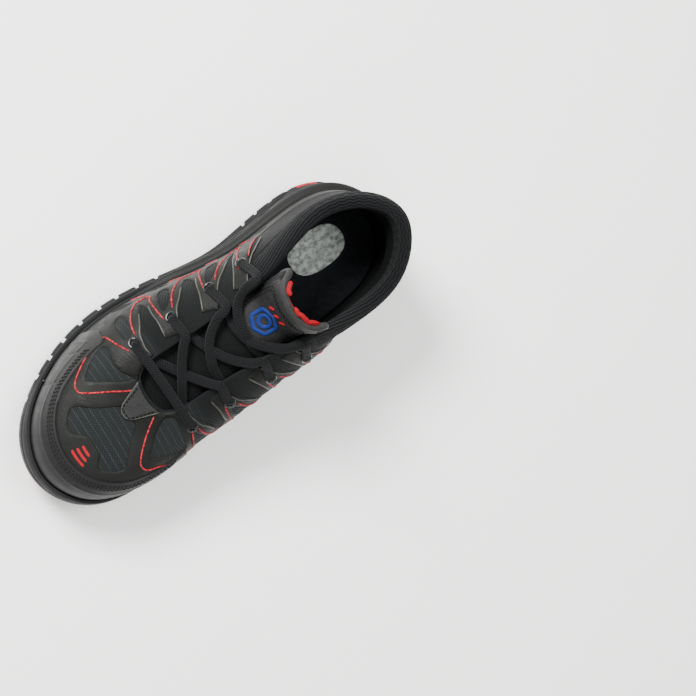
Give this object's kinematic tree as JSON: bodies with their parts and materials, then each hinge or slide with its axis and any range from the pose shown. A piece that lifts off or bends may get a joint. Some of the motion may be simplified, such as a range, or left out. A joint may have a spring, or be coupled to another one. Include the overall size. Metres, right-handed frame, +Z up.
{
  "type": "safety sneaker",
  "caption": "Low safety sneaker for the right foot, with a cup sole, lug tread, moulded toe cap, padded collar, padded tongue and flat laces held through ringed holes.",
  "frame": {"origin": "on the floor, under the middle of the sole's plan box", "axes": "+X from heel to toe, +Y to the inner (big toe) side, +Z up from the floor"},
  "size_m": [0.2968, 0.1135, 0.1258],
  "materials": {
    "black_rubber": "moulded matt black",
    "red_rubber": "moulded red",
    "grey_foam": "moulded charcoal foam, satin",
    "footbed_cloth": "black napped cloth",
    "black_cloth": "black mesh cloth under dark grey film",
    "toe_cap_polymer": "moulded matt charcoal",
    "patch_leather": "satin dark film",
    "tongue_cloth": "black mesh cloth over foam",
    "black_enamel": "gloss black",
    "lace_polyester": "black woven polyester"
  },
  "bodies": {
    "root": {"outsole": "black_rubber", "toe_insert": "red_rubber", "heel_insert_outer": "red_rubber", "heel_insert_inner": "red_rubber", "midsole": "grey_foam", "insole": "footbed_cloth", "upper": "black_cloth", "toe_cap": "toe_cap_polymer", "throat_patch": "patch_leather", "tongue": "tongue_cloth", "eyelet_outer_1": "black_enamel", "eyelet_outer_2": "black_enamel", "eyelet_outer_3": "black_enamel", "eyelet_outer_4": "black_enamel", "eyelet_inner_1": "black_enamel", "eyelet_inner_2": "black_enamel", "eyelet_inner_3": "black_enamel", "eyelet_inner_4": "black_enamel", "lace_bar": "lace_polyester", "lace_crossing_1": "lace_polyester", "lace_crossing_2": "lace_polyester", "lace_crossing_3": "lace_polyester"}
  },
  "joints": []
}
